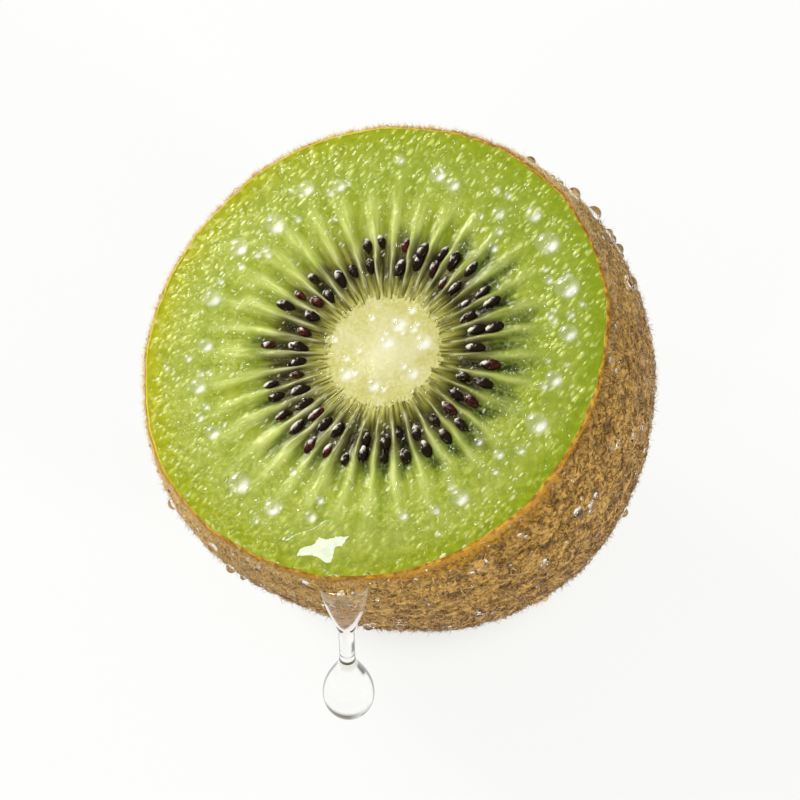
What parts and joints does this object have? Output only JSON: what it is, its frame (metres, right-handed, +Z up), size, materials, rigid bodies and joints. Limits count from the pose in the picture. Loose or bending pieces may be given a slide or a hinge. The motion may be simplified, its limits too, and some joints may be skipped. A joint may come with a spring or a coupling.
{
  "type": "cut kiwifruit half",
  "caption": "Kiwifruit cut across, lying on its rounded fuzzy back with the green seeded face up and a drop of clear juice hanging from the rim.",
  "frame": {"origin": "centre of the small flat spot that the rounded back rests on", "axes": "+Z up through the fruit; the cut face looks up and leans 17.55 degrees towards -X; the drop of juice hangs on the -Y side"},
  "size_m": [0.0532, 0.0556, 0.0453],
  "materials": {
    "green_flesh": "wet green flesh with black seeds, brown fuzzy skin round the back",
    "pale_core": "moist pale yellow-green core",
    "clear_juice": "clear watery juice"
  },
  "bodies": {
    "root": {"kiwi_flesh": "green_flesh", "kiwi_core": "pale_core", "juice_drip": "clear_juice"}
  },
  "joints": []
}
